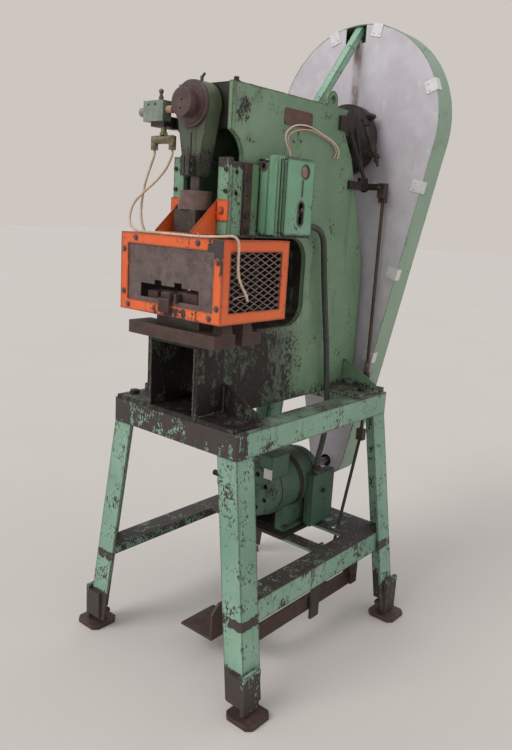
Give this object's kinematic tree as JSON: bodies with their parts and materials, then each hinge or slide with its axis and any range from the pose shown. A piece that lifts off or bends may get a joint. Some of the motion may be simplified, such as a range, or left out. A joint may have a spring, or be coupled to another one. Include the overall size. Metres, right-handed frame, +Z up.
{
  "type": "mechanical stamping press",
  "caption": "Small gap-frame crank press on a splayed angle-iron stand, with a caged die space, a teardrop flywheel guard, a belt motor below and a treadle trip linkage",
  "frame": {"origin": "on the floor, under the middle of the whole machine's width and depth", "axes": "+Z up, -Y towards the operator at the front, +X to the right-hand side that carries the starter box"},
  "size_m": [0.692, 0.838, 1.787],
  "materials": {
    "green_paint": "worn mint green enamel with oil stains",
    "stand_paint": "worn mint green enamel over dark primer",
    "orange_paint": "chipped orange enamel",
    "dark_steel": "dark oily steel",
    "rusty_steel": "brown rusty steel",
    "bare_steel": "rubbed bare steel",
    "galvanised": "galvanised sheet",
    "bronze": "bronze bearing metal",
    "cast_iron": "dark machined iron",
    "motor_paint": "dark green motor enamel",
    "black_rubber": "black rubber",
    "grey_conduit": "dark grey flexible conduit",
    "tan_hose": "yellowed air tube",
    "pink_wire": "faded wire insulation",
    "tan_plastic": "tan plastic"
  },
  "bodies": {
    "press": {"stand_top": "stand_paint", "stand_legs": "stand_paint", "lower_rails": "stand_paint", "foot_pads": "rusty_steel", "foot_studs": "dark_steel", "press_frame": "green_paint", "hold_down_bolts": "dark_steel", "bolster_plate": "rusty_steel", "die_clamps": "rusty_steel", "lower_die": "dark_steel", "gib_blocks": "green_paint", "gib_keepers": "green_paint", "gib_bars": "rusty_steel", "gib_bolts": "dark_steel", "shaft_bushes": "bronze", "switch_box": "green_paint", "switch_cover": "green_paint", "conduit": "grey_conduit", "wire_upper": "pink_wire", "wire_lower": "pink_wire", "valve_bracket": "dark_steel", "valve_block": "galvanised", "air_fittings": "bronze", "hose_left": "tan_hose", "hose_right": "tan_hose", "cage_frame": "orange_paint", "cage_front": "bare_steel", "screen_left": "rusty_steel", "screen_right": "rusty_steel", "cage_brackets": "orange_paint", "hood_front": "galvanised", "hood_shell": "green_paint", "hood_clips": "galvanised", "hood_brace": "green_paint", "drive_belt": "black_rubber", "motor_shell": "motor_paint", "motor_bells": "motor_paint", "motor_base": "dark_steel", "terminal_box": "motor_paint", "brake_band": "dark_steel", "treadle_hanger": "rusty_steel", "trip_stay": "dark_steel"},
    "crank": {"crankshaft": "bare_steel", "crank_cap": "rusty_steel", "brake_drum": "cast_iron"},
    "rod": {"connecting_rod": "green_paint", "clamp_bolts": "dark_steel", "adjusting_screw": "bare_steel"},
    "slide": {"ram": "dark_steel", "lock_ring": "rusty_steel", "upper_die": "bare_steel"},
    "wheel": {"flywheel": "cast_iron"},
    "rotor": {"motor_rotor": "bare_steel"},
    "pedal": {"treadle": "rusty_steel"},
    "pull_rod": {"trip_rod": "rusty_steel", "return_spring": "bare_steel"},
    "latch": {"trip_lever": "dark_steel"},
    "lever": {"switch_lever": "tan_plastic"},
    "button": {"reset_button": "tan_plastic"},
    "plunger": {"valve_plunger": "tan_plastic"}
  },
  "joints": [
    {"name": "flywheel_turn", "type": "hinge", "parent": "press", "child": "wheel", "pos_m": [0, 0.379, 1.456], "axis": [0, 1, 0], "continuous": true},
    {"name": "motor_turn", "type": "hinge", "parent": "press", "child": "rotor", "pos_m": [0, 0.379, 0.427], "axis": [0, 1, 0], "continuous": true},
    {"name": "crank_turn", "type": "hinge", "parent": "press", "child": "crank", "pos_m": [0, -0.039, 1.456], "axis": [0, 1, 0], "range_deg": [0, 180]},
    {"name": "rod_turn", "type": "hinge", "parent": "crank", "child": "rod", "pos_m": [0, -0.323, 1.466], "axis": [0, 1, 0], "range_deg": [-180, 0]},
    {"name": "ram_slide", "type": "slide", "parent": "press", "child": "slide", "axis": [0, 0, -1], "range_m": [0, 0.02]},
    {"name": "treadle_turn", "type": "hinge", "parent": "press", "child": "pedal", "pos_m": [0.178, 0.261, 0.098], "axis": [1, 0, 0], "range_deg": [0, 6]},
    {"name": "pull_rod_slide", "type": "slide", "parent": "press", "child": "pull_rod", "axis": [0, 0, -1], "range_m": [0, 0.01154], "deforming": ["return_spring"]},
    {"name": "latch_turn", "type": "hinge", "parent": "press", "child": "latch", "pos_m": [0.086, 0.294, 1.32], "axis": [0, 1, 0], "range_deg": [0, 12.23]},
    {"name": "switch_lever_turn", "type": "hinge", "parent": "press", "child": "lever", "pos_m": [0.14, -0.113, 1.23], "axis": [0, 1, 0], "range_deg": [0, 40]},
    {"name": "reset_button_slide", "type": "slide", "parent": "press", "child": "button", "axis": [-1, 0, 0], "range_m": [0, 0.004], "stiffness_N_per_m": 300},
    {"name": "valve_plunger_slide", "type": "slide", "parent": "press", "child": "plunger", "axis": [-1, 0, 0], "range_m": [0, 0.0035], "stiffness_N_per_m": 400}
  ],
  "couplings": [
    {"joint": "motor_turn", "follows": "flywheel_turn", "ratio": 7.25},
    {"joint": "rod_turn", "follows": "crank_turn", "ratio": -1},
    {"joint": "ram_slide", "follows": "crank_turn", "m_per_rad": 0.0063662},
    {"joint": "pull_rod_slide", "follows": "treadle_turn", "m_per_rad": 0.11},
    {"joint": "latch_turn", "follows": "treadle_turn", "ratio": 2.037}
  ]
}
